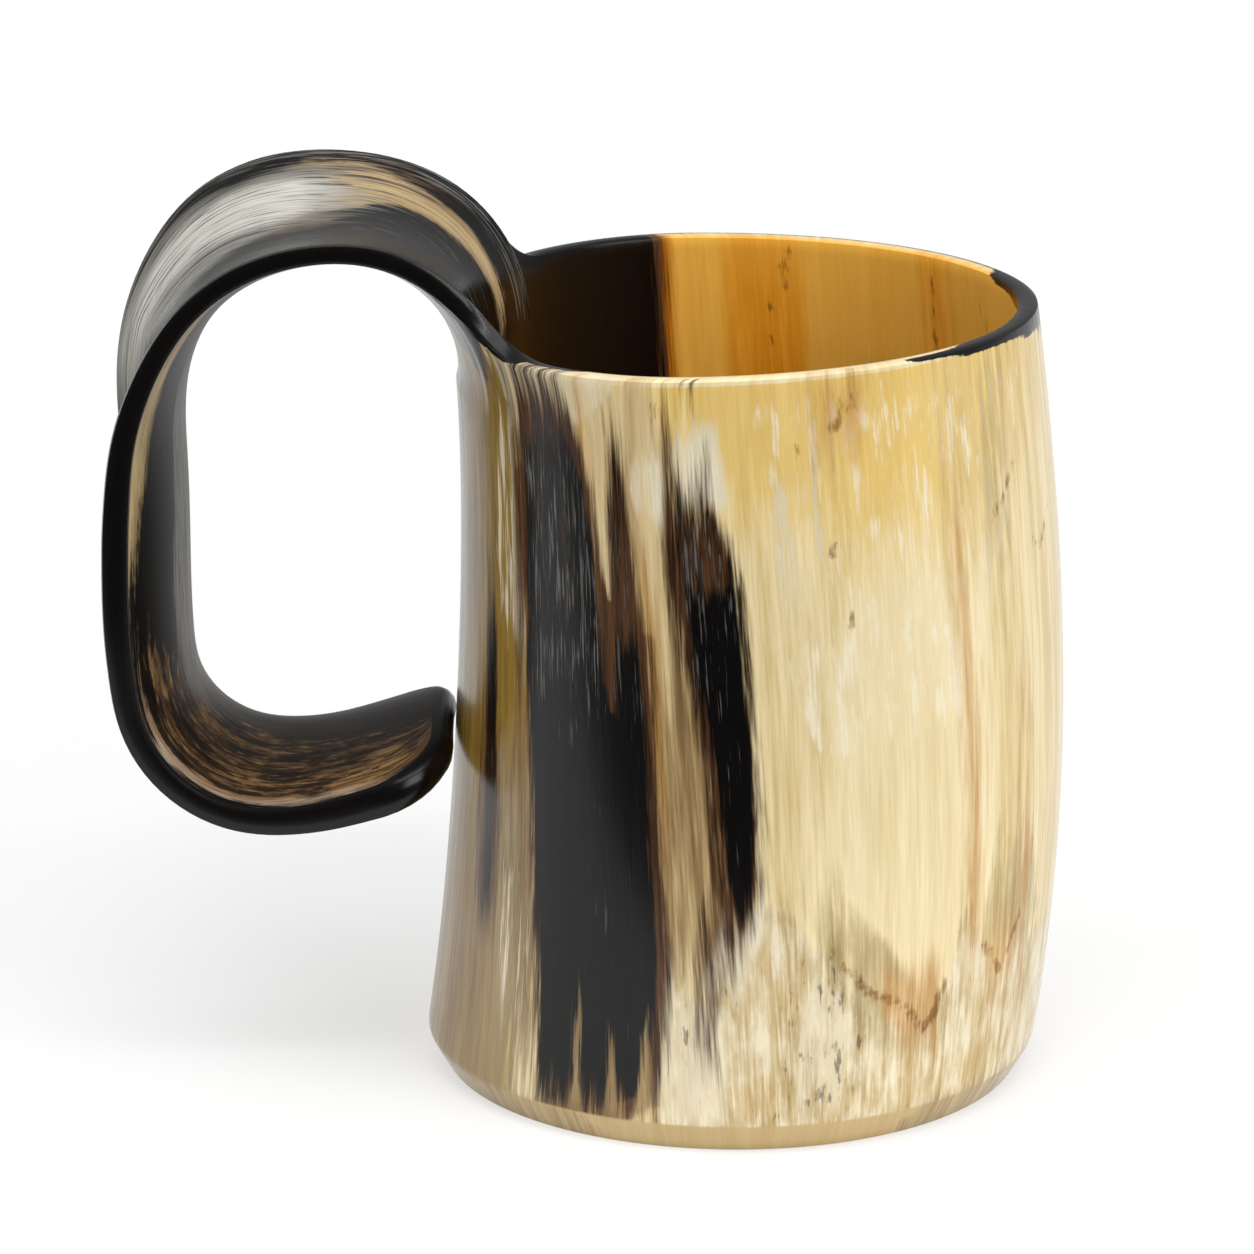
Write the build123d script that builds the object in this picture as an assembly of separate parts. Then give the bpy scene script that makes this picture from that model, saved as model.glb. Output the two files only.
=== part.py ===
from build123d import *
import os
from math import asin, degrees, radians, tan
from typing import NamedTuple

# Horn drinking cup. Millimetres, +Z up, foot centre at the origin, handle towards -X.
# One length of horn is both the cup wall and the handle: a tongue of the wall runs on past the rim,
# rolls outward over a bend axis and hooks down beside the cup. A horn disc closes the foot.


class Oval(NamedTuple):
    """How an egg shaped outline stands out from the foot's circle, and X of its widest place."""

    toward_handle: float
    away_from_handle: float
    front_and_back: float
    widest_x: float


# Cup
FOOT_RADIUS = 45.0
RIM_HEIGHT = 114.8
RIM_TILT = 0.9
ROLL_RISE = 10.8
BEVEL_RISE = 4.3
BEVEL_INSET = 2.6

# Wall outlines, spaced evenly from the top of the foot's bevel to the collar where the roll starts
FOOT = Oval(0.7, -0.2, 0.0, 0.0)
FLARE = Oval(-2.2, 2.5, 0.4, -1.8)
BELLY = Oval(-3.9, 3.4, 0.3, -3.6)
SHOULDER = Oval(-4.7, 2.1, -0.6, -5.4)
COLLAR = Oval(-4.2, 0.0, -2.2, -7.0)

# Wall
FOOT_WALL = 5.2
RIM_WALL = 3.0
EDGE_ROUND = 1.0

# Handle tongue, bends measured on its outer face
ROOT_BEND = 17.5
SHOULDER_BEND = 24.5
SHOULDER_ANGLE = 64.0
ARCH_BEND = 39.0
GRIP_LENGTH = 29.5
GRIP_TUCK = 1.7
CURL_BEND = 16.8
HOOK_BEND = 50.0
TONGUE_WIDTH = 49.0
TONGUE_SHIFT = 1.5
ROOT_FLARE = 9.0
TIP_WIDTH = 41.0
TIP_ROUND = 13.0
TIP_GAP = 0.6

# Base disc and its adhesive
DISC_THICKNESS = 5.0
REBATE = 1.0
GLUE_FILM = 0.3
BEAD_WIDTH = 1.6
BEAD_RISE = 1.6
BEAD_LAND = 0.4

# Room given to cutting blocks beyond what they cut, and the reach of a search for an edge
MARGIN = 15.0
OVERRUN_ANGLE = 5.0
NEAR = 0.1
HALF_TURN = 180

collar_z = RIM_HEIGHT - ROLL_RISE
ovals = [FOOT, FLARE, BELLY, SHOULDER, COLLAR]
spacing = (collar_z - BEVEL_RISE) / (len(ovals) - 1)
outlines = [(BEVEL_RISE + spacing * place, oval) for place, oval in enumerate(ovals)]


def wall_at(height):
    """Wall thickness at a height: the horn thins steadily from foot to collar."""
    return FOOT_WALL + (RIM_WALL - FOOT_WALL) * height / collar_z


def reach_at(height):
    """Reach of the outer wall towards the handle at a height, between the two nearest outlines."""
    swell = FOOT.toward_handle
    for (low_z, low), (high_z, high) in zip(outlines, outlines[1:]):
        if height > low_z:
            share = min((height - low_z) / (high_z - low_z), 1.0)
            swell = low.toward_handle + (high.toward_handle - low.toward_handle) * share
    return FOOT_RADIUS + swell


def oval_face(oval, height, inset=0.0):
    """Flat egg shaped face at a height: a half ellipse on each side of the widest place."""
    radius = FOOT_RADIUS - inset
    middle = (oval.widest_x, 0)
    half_depth = radius + oval.front_and_back
    toward_reach = radius + oval.toward_handle + oval.widest_x
    away_reach = radius + oval.away_from_handle - oval.widest_x
    toward = EllipticalCenterArc(middle, toward_reach, half_depth, 90, arc_size=HALF_TURN)
    away = EllipticalCenterArc(middle, away_reach, half_depth, 270, arc_size=HALF_TURN)
    return Pos(0, 0, height) * make_face([toward, away])


def oval_block(oval, low, high, inset):
    """Straight sided block on an egg shaped outline, from one height to another."""
    return extrude(oval_face(oval, low, inset), high - low)


# Cup wall from the foot to the collar, hollow all through
bevel = loft([oval_face(FOOT, 0, BEVEL_INSET), oval_face(FOOT, BEVEL_RISE)], ruled=True)
outside = bevel + loft([oval_face(oval, height) for height, oval in outlines])
hollow_outlines = [(0.0, FOOT)] + outlines[1:]
inside = loft([oval_face(oval, height, wall_at(height)) for height, oval in hollow_outlines])
wall = outside - inside

# Crown: the collar's ring rolled outward over the bend axis, so the wall flows into the tongue
bend_x = -reach_at(collar_z) - ROOT_BEND
bend_axis = Axis((bend_x, 0, collar_z), (0, -1, 0))
ring = oval_face(COLLAR, collar_z) - oval_face(COLLAR, collar_z, RIM_WALL)
rolled = revolve(ring, bend_axis, 90)

# What is left of the rolled ring: all below the tilted rim, and the tongue, whose root flares into the rim
half_depth = FOOT_RADIUS + COLLAR.front_and_back
tilt = tan(radians(RIM_TILT))
far_x = FOOT_RADIUS + COLLAR.away_from_handle + MARGIN
far_rim = (far_x, RIM_HEIGHT + tilt * far_x)
near_rim = (bend_x, RIM_HEIGHT + tilt * bend_x)
rim_side = Polyline((bend_x, collar_z), (far_x, collar_z), far_rim, near_rim, close=True)
rim_block = extrude(Plane.XZ * make_face(rim_side), half_depth + MARGIN, both=True)
root_radius = ROOT_BEND + RIM_WALL
half_tongue = TONGUE_WIDTH / 2
cross_radius = (half_depth - RIM_WALL) ** 2 / (reach_at(collar_z) + COLLAR.widest_x - RIM_WALL)
edge_lift = (half_tongue + TONGUE_SHIFT) ** 2 / cross_radius
tongue_length = COLLAR.widest_x - bend_x
tongue_height = root_radius + edge_lift
tongue_block = Pos(bend_x, TONGUE_SHIFT, collar_z) * Box(
    tongue_length, TONGUE_WIDTH, tongue_height, align=(Align.MIN, Align.CENTER, Align.MIN)
)
keep = rim_block + tongue_block
side_edges = [edge for edge in keep.edges() if abs(abs(edge.center().Y - TONGUE_SHIFT) - half_tongue) < NEAR]
roots = [edge for edge in side_edges if abs(edge.center().Z - RIM_HEIGHT - tilt * edge.center().X) < NEAR]
keep = fillet(roots, ROOT_FLARE)
crown = rolled & keep

# Rest of the tongue: the crown's open end carried over the shoulder, round the arch, down the grip and into the hook
section = crown.faces().filter_by(Axis.X).sort_by(Axis.X)[0]


def turn(face, point, heading, radius, angle):
    """Carry a section round a bend on the finger side: the solid, end section, end point and heading."""
    centre = Vector(*point) + Vector(0, 0, radius).rotate(Axis.Y, -heading)
    axis = Axis(centre, (0, -1, 0))
    end_point = Vertex(*point).rotate(axis, angle).center()
    return revolve(face, axis, angle), face.rotate(axis, angle), tuple(end_point), heading + angle


apex = (bend_x, 0, collar_z + root_radius)
shoulder, arch_start, arch_point, heading = turn(section, apex, HALF_TURN, SHOULDER_BEND, SHOULDER_ANGLE)
arch_angle = 90 + GRIP_TUCK - SHOULDER_ANGLE
arch, grip_start, grip_point, heading = turn(arch_start, arch_point, heading, ARCH_BEND, arch_angle)
grip_run = Vector(GRIP_LENGTH, 0, 0).rotate(Axis.Y, -heading)
grip = extrude(grip_start, dir=grip_run, amount=GRIP_LENGTH)
curl_start = Pos(*grip_run) * grip_start
curl_point = tuple(Vector(*grip_point) + grip_run)
curl, hook_start, hook_point, heading = turn(curl_start, curl_point, heading, CURL_BEND, 90 - GRIP_TUCK)
tip_x = -reach_at(hook_point[2]) - TIP_GAP
hook_angle = degrees(asin((tip_x - hook_point[0]) / HOOK_BEND))
hook = turn(hook_start, hook_point, heading, HOOK_BEND, hook_angle + OVERRUN_ANGLE)[0]

# The grip tapers towards the hook, and the tip is round
low_z = hook_point[2] - MARGIN
high_z = apex[2] + MARGIN
half_tip = TIP_WIDTH / 2
taper_front = Polyline(
    (TONGUE_SHIFT - half_tongue, apex[2]),
    (-half_tip, hook_point[2]),
    (-half_tip, low_z),
    (half_tip, low_z),
    (half_tip, hook_point[2]),
    (TONGUE_SHIFT + half_tongue, apex[2]),
    (TONGUE_SHIFT + half_tongue, high_z),
    (TONGUE_SHIFT - half_tongue, high_z),
    close=True,
)
taper_block = extrude(Plane.YZ.offset(bend_x) * make_face(taper_front), -(ARCH_BEND + edge_lift + MARGIN))
tip_length = tip_x - hook_point[0]
tip_plan = Pos(hook_point[0] + tip_length / 2, 0) * Rectangle(tip_length, TIP_WIDTH)
tip_corners = tip_plan.vertices().sort_by(Axis.X)[-2:]
tip_block = Pos(0, 0, low_z) * extrude(fillet(tip_corners, TIP_ROUND), MARGIN + HOOK_BEND)
tongue = (shoulder + arch + grip + curl) & taper_block
tongue = tongue + (hook & tip_block)

# Horn body with the rim and the tongue's edges rounded: wherever a cut face meets the horn's skin
horn_body = wall + crown + tongue
skin_types = (GeomType.BSPLINE, GeomType.REVOLUTION, GeomType.EXTRUSION)
skin_edges = [edge for face in horn_body.faces() if face.geom_type in skin_types for edge in face.edges()]
cut_faces = [face for face in horn_body.faces() if face.geom_type not in skin_types]
cut_edges = [edge for face in cut_faces if face.center().Z > BEVEL_RISE for edge in face.edges()]
lip_edges = [edge for edge in cut_edges if any(edge.is_same(other) for other in skin_edges)]
horn_body = fillet(lip_edges, EDGE_ROUND)

# Rebate for the disc, cut up from the foot
rebate_inset = FOOT_WALL - REBATE
seat_z = DISC_THICKNESS + GLUE_FILM
horn_body = horn_body - oval_block(FOOT, 0, seat_z, rebate_inset)

# Base disc, flush with the foot
disc_inset = rebate_inset + GLUE_FILM
base_disc = oval_block(FOOT, 0, DISC_THICKNESS, disc_inset)

# Cured adhesive: a film round the disc and under the shoulder, with a bead inside the cup
bead_top = seat_z + BEAD_RISE
bead = oval_block(FOOT, DISC_THICKNESS, bead_top, rebate_inset)
bead_hole = loft(
    [
        oval_face(FOOT, DISC_THICKNESS, FOOT_WALL + BEAD_WIDTH),
        oval_face(FOOT, bead_top, wall_at(bead_top) + BEAD_LAND),
    ],
    ruled=True,
)
film = oval_block(FOOT, 0, DISC_THICKNESS, rebate_inset) - base_disc
glue_seam = film + (bead - bead_hole - horn_body)

os.makedirs("parts", exist_ok=True)
for name, solid in {"horn_body": horn_body, "base_disc": base_disc, "glue_seam": glue_seam}.items():
    print(name, len(solid.solids()), round(solid.volume), solid.bounding_box().size)
    export_step(solid, f"parts/{name}.step")
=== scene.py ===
"""Looks of the horn drinking cup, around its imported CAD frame. Lengths are mm until a mesh is placed."""
import logging
import math
from dataclasses import dataclass
from enum import Enum

import bpy
import numpy as np
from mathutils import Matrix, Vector


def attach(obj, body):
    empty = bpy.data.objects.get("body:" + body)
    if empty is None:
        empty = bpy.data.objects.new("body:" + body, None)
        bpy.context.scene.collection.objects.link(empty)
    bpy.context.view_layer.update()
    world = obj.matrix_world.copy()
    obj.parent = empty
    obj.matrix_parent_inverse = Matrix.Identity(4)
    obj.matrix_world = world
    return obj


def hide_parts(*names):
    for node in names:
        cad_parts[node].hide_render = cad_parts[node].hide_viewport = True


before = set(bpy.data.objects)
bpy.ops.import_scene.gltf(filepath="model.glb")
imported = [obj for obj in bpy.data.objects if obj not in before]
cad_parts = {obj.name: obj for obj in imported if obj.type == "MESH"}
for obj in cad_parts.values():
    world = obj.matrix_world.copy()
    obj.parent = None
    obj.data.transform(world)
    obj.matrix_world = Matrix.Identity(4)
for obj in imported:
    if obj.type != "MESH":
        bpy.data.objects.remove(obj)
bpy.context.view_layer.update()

MM = 0.001
LOG = logging.getLogger("horn_cup")
GIRTH_RADIUS = 45.0
MM_PER_DEGREE = math.radians(GIRTH_RADIUS)

# Depth of places well outside a pattern's shape, and the most that is told of places inside one
OUTSIDE = -9.0
INSIDE = 6.0

# Where the horn's cut edge lies between the two skins, where it starts, and which turns belong to the handle
EDGE_DEPTHS = (0.02, 0.98)
EDGE_START = 111.5
HANDLE_TURNS = (-44.0, 46.0)

Mesh = bpy.types.Mesh
Tree = bpy.types.NodeTree
Socket = bpy.types.NodeSocket


def smooth_step(low: float, high: float, value: np.ndarray) -> np.ndarray:
    """Share from 0 to 1 between two values, level at both ends."""
    share = np.clip((value - low) / (high - low), 0.0, 1.0)
    return share * share * (3.0 - 2.0 * share)


class Skin(Enum):
    """The two faces of the horn: the outside of the cup, and the inside of it."""

    OUTER = 0.0
    INNER = 1.0


class Grain(Enum):
    """How the two tones of a colouring mingle: softly, in cloudy patches, or in fine strands."""

    SOFT = 1
    CLOUDY = 2
    STRANDS = 3


class Side(Enum):
    """The handle strip's two edges: the one towards the camera, and the one behind."""

    FRONT = "front"
    BACK = "back"


def read_points(mesh: Mesh) -> np.ndarray:
    """Read where a mesh's vertices lie.

    Args:
        mesh: the mesh, in object mode.

    Returns:
        Places in metres, one in each row.
    """
    places = np.zeros(len(mesh.vertices) * 3)
    mesh.vertices.foreach_get("co", places)
    return places.reshape(-1, 3)


def write_points(mesh: Mesh, points: np.ndarray) -> None:
    """Move a mesh's vertices to points given in millimetres."""
    mesh.vertices.foreach_set("co", (points * MM).ravel())
    mesh.update()


def read_values(mesh: Mesh, name: str) -> np.ndarray:
    """Read a mesh attribute.

    Args:
        mesh: the mesh, in object mode.
        name: the attribute.

    Returns:
        One number for each vertex.
    """
    values = np.zeros(len(mesh.vertices))
    mesh.attributes[name].data.foreach_get("value", values)
    return values


def write_values(mesh: Mesh, name: str, values: np.ndarray) -> None:
    """Keep one number for each vertex as a mesh attribute."""
    layer = mesh.attributes.get(name) or mesh.attributes.new(name, "FLOAT", "POINT")
    layer.data.foreach_set("value", np.asarray(values, dtype=np.float32))


def select_only(mesh: Mesh, kind: str, chosen: np.ndarray) -> None:
    """Select some of a mesh's edges or faces, and nothing else.

    Args:
        mesh: the mesh, in object mode.
        kind: "edges" or "polygons".
        chosen: true for each one to select.
    """
    bpy.context.tool_settings.mesh_select_mode = (False, kind == "edges", kind == "polygons")
    for name in ("vertices", "edges", "polygons"):
        items = getattr(mesh, name)
        items.foreach_set("select", chosen if name == kind else np.zeros(len(items), dtype=bool))


@dataclass(frozen=True)
class Streak:
    """A streak along the fibre: rows of distance along the horn, left edge and right edge in degrees."""

    rows: tuple[tuple[float, float, float], ...]
    cap: float = INSIDE
    end_fade: float = 0.2

    def depth(self, turn: np.ndarray, along: np.ndarray) -> np.ndarray:
        """How far inside the streak points lie.

        Args:
            turn: degrees round the horn, 0 at the handle and 90 at the front.
            along: millimetres along the horn from the foot.

        Returns:
            Millimetres inside the nearest side, or scaled ones inside the nearest end, at most the cap.
        """
        stations, left, right = zip(*self.rows)
        left_edge = np.interp(along, stations, left)
        right_edge = np.interp(along, stations, right)
        middle = (left_edge + right_edge) / 2.0
        near = (turn - middle + 180.0) % 360.0 - 180.0
        across = ((right_edge - left_edge) / 2.0 - np.abs(near)) * MM_PER_DEGREE
        inside = np.minimum(along - stations[0], stations[-1] - along) * self.end_fade
        return np.clip(np.minimum(across, inside), OUTSIDE, self.cap)


@dataclass(frozen=True)
class Mark:
    """A thin stain that follows a few points, each a turn in degrees and a distance along the horn."""

    points: tuple[tuple[float, float], ...]
    half_width: float

    def depth(self, turn: np.ndarray, along: np.ndarray) -> np.ndarray:
        """How far inside the mark points lie.

        Args:
            turn: degrees round the horn.
            along: millimetres along the horn.

        Returns:
            Millimetres inside the mark's edge, less than zero outside.
        """
        place = np.stack([turn * MM_PER_DEGREE, along], axis=-1)
        corners = np.array(self.points) * (MM_PER_DEGREE, 1.0)
        nearest = np.full(len(turn), -OUTSIDE)
        for start, end in zip(corners, corners[1:]):
            run = end - start
            share = np.clip((place - start) @ run / (run @ run), 0.0, 1.0)
            gap = np.linalg.norm(place - start - share[:, None] * run, axis=1)
            nearest = np.minimum(nearest, gap)
        return np.maximum(self.half_width - nearest, OUTSIDE)


@dataclass(frozen=True)
class Shore:
    """An edge that runs round the horn: turns in degrees, and how far along the horn it lies there.

    It colours the side towards the foot, or the other side where the slope is less than zero.
    """

    heights: tuple[tuple[float, float], ...]
    slope: float

    def depth(self, turn: np.ndarray, along: np.ndarray) -> np.ndarray:
        """How far below the shore points lie, scaled so that fibres reach far across it.

        Args:
            turn: degrees round the horn.
            along: millimetres along the horn.

        Returns:
            Scaled millimetres below the shore, or above it where the slope is less than zero.
        """
        turns, heights = zip(*self.heights)
        return np.clip((np.interp(turn % 360.0, turns, heights) - along) * self.slope, OUTSIDE, INSIDE)


@dataclass(frozen=True)
class Layer:
    """One colouring of the horn: two tones, where it lies on each skin, and how fibre breaks up its edge."""

    name: str
    tone: str
    shade: str
    outer: tuple[Streak | Mark | Shore, ...] = ()
    inner: tuple[Streak | Mark | Shore, ...] = ()
    streaks: float = 2.0
    hairs: float = 1.5
    flecks: float = 0.0
    clouds: float = 0.0
    low: float = -0.3
    high: float = 0.6
    strength: float = 1.0
    handle_edge: float = OUTSIDE
    rim_edge: float | None = None
    grain: Grain = Grain.SOFT

    def tag(self, mesh: Mesh) -> None:
        """Write the layer's depth on the horn's mesh.

        Args:
            mesh: the horn, tagged with turn, along and depth.
        """
        turn = read_values(mesh, "turn")
        along = read_values(mesh, "along")
        through = read_values(mesh, "depth")
        fields = []
        for shapes in (self.outer, self.inner):
            depths = [shape.depth(turn, along) for shape in shapes]
            fields.append(np.max(depths, axis=0) if depths else np.full(len(turn), OUTSIDE))
        field = np.where(through < 0.5, *fields)
        edge = (through > EDGE_DEPTHS[0]) & (through < EDGE_DEPTHS[1]) & (along > EDGE_START)
        handle = (turn > HANDLE_TURNS[0]) & (turn < HANDLE_TURNS[1])
        field = np.where(edge & handle, self.handle_edge, field)
        if self.rim_edge is not None:
            field = np.where(edge & ~handle, self.rim_edge, field)
        write_values(mesh, self.name, field)


# What the eye sees of the horn, from the clear keratin up to the black pigment; the unseen back is a guess
LAYERS = (
    Layer("honey", "E8C97D", "DAB667", streaks=4, hairs=1.5, clouds=2, low=-1.1, high=1.5, rim_edge=OUTSIDE,
          outer=(
        Shore((
            (0, 100), (60, 112), (85, 104), (98, 92), (108, 86), (118, 87), (126, 88), (134, 85), (142, 88),
            (150, 100), (165, 112), (180, 114), (220, 100), (300, 92), (360, 100),
        ), -0.13),
    )),
    # Grey-beige smoke in the horn, and painted shade along the right limb
    Layer("beige_smoke_and_limb_shade", "D8C088", "C2A668", streaks=5, hairs=1, low=-2, high=2.6, strength=0.8, outer=(
        Streak(((20, 142, 150), (50, 142.5, 150), (84, 143, 149.5)), 2, 0.1),
        Streak(((88, 152, 160), (104, 146, 168), (124, 142, 172)), 2, 0.1),
        Streak(((30, 190, 215), (90, 188, 210)), 3),
        Streak(((80, 133, 146), (96, 132, 148), (116, 132, 150)), 2, 0.1),
        Streak(((34, 99, 105), (60, 99, 108), (90, 98, 114)), 0.4, 0.08),
        # Painted shade: this streak darkens the right limb over its whole height, where the wall turns away
        # from the light
        Streak(((10, 158, 190), (60, 158, 190), (112, 156, 186)), 0.6, 0.1),
    )),
    Layer("smoke", "977A38", "684E1C", streaks=5, hairs=2, low=-1.8, high=2, outer=(
        Streak(((-20, -92, 43), (30, -92, 46), (60, -92, 48), (90, -90, 45), (140, -88, 42))),
    )),
    Layer("ash_wash", "A3906C", "6E5A3E", streaks=5, hairs=2, low=-1, high=1.6, strength=0.95, outer=(
        Streak(((3, 25, 48), (16, 25, 49), (34, 26, 49), (50, 30, 48), (62, 40, 47)), 2.4, 0.1),
    )),
    Layer("tan_column", "DCC79A", "C4AA7A", streaks=4, low=-1.4, high=1.8, outer=(
        Streak(((12, 76, 90), (45, 77, 92), (70, 77, 90), (90, 64, 87), (108, 60, 84), (118, 56, 80))),
    )),
    Layer("umber", "AE9766", "82694A", streaks=4.5, hairs=2, low=-0.6, high=1.8, strength=0.8, outer=(
        Streak(((22, 77, 92), (40, 78, 93), (56, 79, 92), (78, 83, 91)), 1.6, 0.12),
    )),
    Layer("amber_edge", "93734A", "69502F", streaks=3, hairs=1, low=-1.6, high=2.4, strength=0.85, outer=(
        Streak(((12, 72, 80), (28, 74, 82), (45, 75, 82.5), (62, 75, 82), (80, 75, 80)), 1.5, 0.12),
        Streak(((8, 46, 53), (30, 44.5, 52), (50, 43, 50), (76, 41.5, 47)), 1.2, 0.1),
        Streak(((34, 86, 93), (50, 84.5, 91), (66, 83.5, 90), (84, 83, 88), (98, 83, 87)), 0.8, 0.1),
        Streak(((0, 52, 77), (7, 52, 77.5), (16, 58, 78)), 2, 0.4),
        Streak(((66, 75, 80.5), (88, 75, 79), (102, 73, 76)), 1, 0.1),
        Streak(((0, -73, -38), (60, -80, -30), (114, -84, -22)), 2, 0.2),
        Streak(((4, -118, -98), (60, -124, -95), (106, -114, -99)), 1.2, 0.1),
        # A thin dark line along the outer half of the back rim's lip
        Streak(((113.4, 190, 286), (124, 190, 286)), 2, 1),
    )),
    Layer("pale_dash", "F4ECD6", "EFE4C6", streaks=4, hairs=4, clouds=4, low=0.6, high=2, strength=0.85,
          outer=(
        Streak(((58, 108, 128), (70, 104, 140), (112, 100, 158)), 0.7),
        Streak(((60, 128, 137), (90, 127, 138), (110, 126, 136)), 1),
    )),
    Layer("crust", "E5DABC", "BBA577", streaks=5, hairs=4.5, clouds=3, low=-0.4, high=1, grain=Grain.CLOUDY,
          outer=(
        Shore((
            (0, 0), (20, 0), (36, 2), (41, 4), (48, 5), (51, 4), (54, 4), (70, 5), (76, 22), (80, 27),
            (87, 27), (92, 34), (97, 40), (101, 38), (106, 33), (112, 27), (118, 23), (126, 17), (130, 21),
            (135, 33), (139, 29), (145, 22), (152, 28), (158, 25), (180, 25), (210, 32), (235, 20),
            (265, 34), (285, 14), (312, 10), (325, 28), (345, 12), (360, 6),
        ), 0.45),
    )),
    Layer("crust_tan", "CFB581", "AE8F58", streaks=4, hairs=2, clouds=4, low=-0.2, high=2.2, strength=0.75,
          outer=(
        Streak(((14, 90, 104), (27, 91, 106), (40, 95, 101)), 1.2, 0.12),
        Streak(((3, 76, 140), (8, 80, 150), (14, 100, 150)), 2.2, 0.25),
        Streak(((4, 130, 165), (22, 131, 165)), 0.6, 0.1),
    )),
    Layer("olive_wash", "B09A66", "8E7848", streaks=3, hairs=1.5, clouds=3, low=-0.6, high=2, strength=0.7,
          outer=(
        Streak(((16, 116, 128), (22, 110, 126), (30, 106, 120), (40, 103, 110)), 1.8, 0.14),
        Streak(((4, 99, 106), (12, 99.5, 107), (21, 101, 106)), 1, 0.2),
        Streak(((3, 110, 116), (15, 111, 117)), 0.8, 0.2),
        Streak(((84, 142, 148), (98, 142, 150), (114, 143, 152)), 0.8, 0.08),
        Streak(((20, 142, 150), (28, 139, 160), (44, 142, 154)), 1.6, 0.14),
    )),
    Layer("flakes", "F0E8D4", "D0C19B", streaks=5, hairs=4, low=0, high=1.4, outer=(
        Streak(((94, 89, 95), (98, 87, 97), (104, 86, 96), (109, 88, 95)), 1.6, 0.4),
        Streak(((93, 77, 84), (99, 75, 85), (105, 78, 84)), 1.2, 0.4),
        Streak(((103, 46, 54), (108, 40, 66), (113, 38, 74), (120, 40, 78)), 0.9),
        Streak(((82, 104, 108), (92, 101, 112), (101, 103, 109)), 0.6),
        Streak(((14, 72, 78), (22, 73.5, 81), (31, 76, 82)), 1),
        Streak(((4, 76, 88), (14, 77, 90), (24, 79, 90)), 0.9, 0.3),
        Streak(((24, 84, 93), (33, 89, 98), (43, 93, 99)), 1.4),
        Streak(((4, 45, 50.5), (20, 44, 50), (36, 45, 49)), 0.1),
        Streak(((6, 101, 112), (16, 102, 113), (25, 104, 110)), 0.6, 0.3),
        Streak(((6, 36, 43), (24, 38, 44), (38, 40, 43)), 0.2),
        Streak(((72, 38, 45), (84, 34, 45), (98, 36, 44), (108, 38, 43)), 0.8),
    )),
    Layer("ochre", "CC9C54", "AA7838", streaks=4, hairs=1.5, low=-1.4, high=1.8, strength=0.75, outer=(
        Streak(((28, 135.5, 138.5), (60, 135, 138), (98, 133, 136)), 1, 0.08),
        Streak(((28, 150.5, 153), (62, 151, 153.5)), 1, 0.1),
        Streak(((50, 76.5, 80.5), (76, 77, 80.2), (92, 76, 78.5)), 0.8, 0.1),
        Streak(((94, 63, 66), (112, 63.5, 65.5)), 0.6),
        Streak(((15, 122, 129), (20, 118, 130), (26, 117, 130)), 1, 0.3),
        Streak(((19, 142, 149), (28, 141, 152)), 0.7),
        Streak(((104, 111, 118), (113, 111, 119)), 0.6),
        Streak(((2, 56, 76), (8, 56, 75), (17, 60, 74)), 1),
    )),
    Layer("inner_pale", "F8C25E", "F0B248", streaks=6, hairs=2, low=-1.6, high=2.6, strength=0.8, inner=(
        Streak(((60, -95, -80), (124, -94, -80)), 2.4),
        Streak(((100, -180, -150), (124, -190, -140)), 2.4),
        Streak(((60, -182, -109), (124, -186, -109)), 1.2, 0.1),
        Streak(((110, -190, -82), (124, -190, -82)), 1.6, 0.25),
    )),
    Layer("inner_orange", "F09C22", "DE860F", streaks=5, hairs=1, low=-2.6, high=3.6, strength=0.8, inner=(
        Streak(((70, -107, -95), (98, -109, -94), (113, -107, -96)), 2.4, 0.12),
        Streak(((90, -142, -136), (118, -142, -136)), 1.2),
        Streak(((60, -81, -76), (124, -81.4, -76.5)), 1.4),
    )),
    Layer("inner_burnt", "B0680F", "7C450A", streaks=3, hairs=1.5, low=-1.3, high=2.4, inner=(
        Streak(((40, -82.4, -74), (150, -83, -74)), 2.4),
    )),
    Layer("stain", "9A6A26", "6A3F12", streaks=1, hairs=0.6, flecks=2.6, clouds=1.6, low=-0.4, high=0.5,
          strength=0.8, outer=(
        Mark((
            (111, 28), (114, 24.5), (118, 22.5), (121, 21.5), (125, 18), (127, 16.5), (129, 19), (131, 23),
        ), 0.55),
        Mark(((140, 27), (143, 24.5), (145.5, 21.5), (147, 23), (149, 26), (151, 29)), 0.5),
        Mark(((112, 107), (113.5, 106.5), (114.5, 108), (115.6, 111), (117.4, 111.4), (116.8, 109.5)), 0.24),
        Mark(((107, 103.2), (107.6, 104.6)), 0.32),
        Mark(((112, 89), (112.4, 90.6)), 0.3),
        Mark(((114, 78.6), (114.2, 80)), 0.3),
        Mark(((145, 90), (146.5, 92), (148.5, 93.5), (150, 95), (150.8, 96.8)), 0.32),
        Mark(((157, 85), (158, 83.4), (160, 83), (162, 84.5), (164, 87), (166, 88)), 0.32),
        Mark(((83, 109), (83.2, 111)), 0.32),
    ), inner=(
        Mark(((-106.2, 107.5), (-105.8, 110.5), (-106.6, 113)), 0.32),
        Mark(((-102.4, 97.5), (-102.6, 99)), 0.3),
        Mark(((-102.8, 103.5), (-102.4, 104.5)), 0.3),
        Mark(((-138.5, 100), (-137.5, 108), (-138.5, 112)), 0.1),
        Mark(((-154, 104), (-153, 112)), 0.3),
    )),
    Layer("brown", "5F4128", "2E1C11", streaks=3.6, hairs=2.6, low=-1.3, high=0.9, handle_edge=INSIDE,
          outer=(
        Streak((
            (3, 51.2, 68), (7, 50.6, 75), (12, 50.2, 77), (18, 49.6, 78.4), (30, 48.8, 79.6),
            (45, 47.4, 78.6), (62, 46, 78.8), (78, 44.2, 78.6), (83, 43.6, 69.4), (88, 43.2, 67.6),
            (98, 43.2, 66), (104, 45.4, 63.5), (112, 47.6, 59),
        )),
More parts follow.
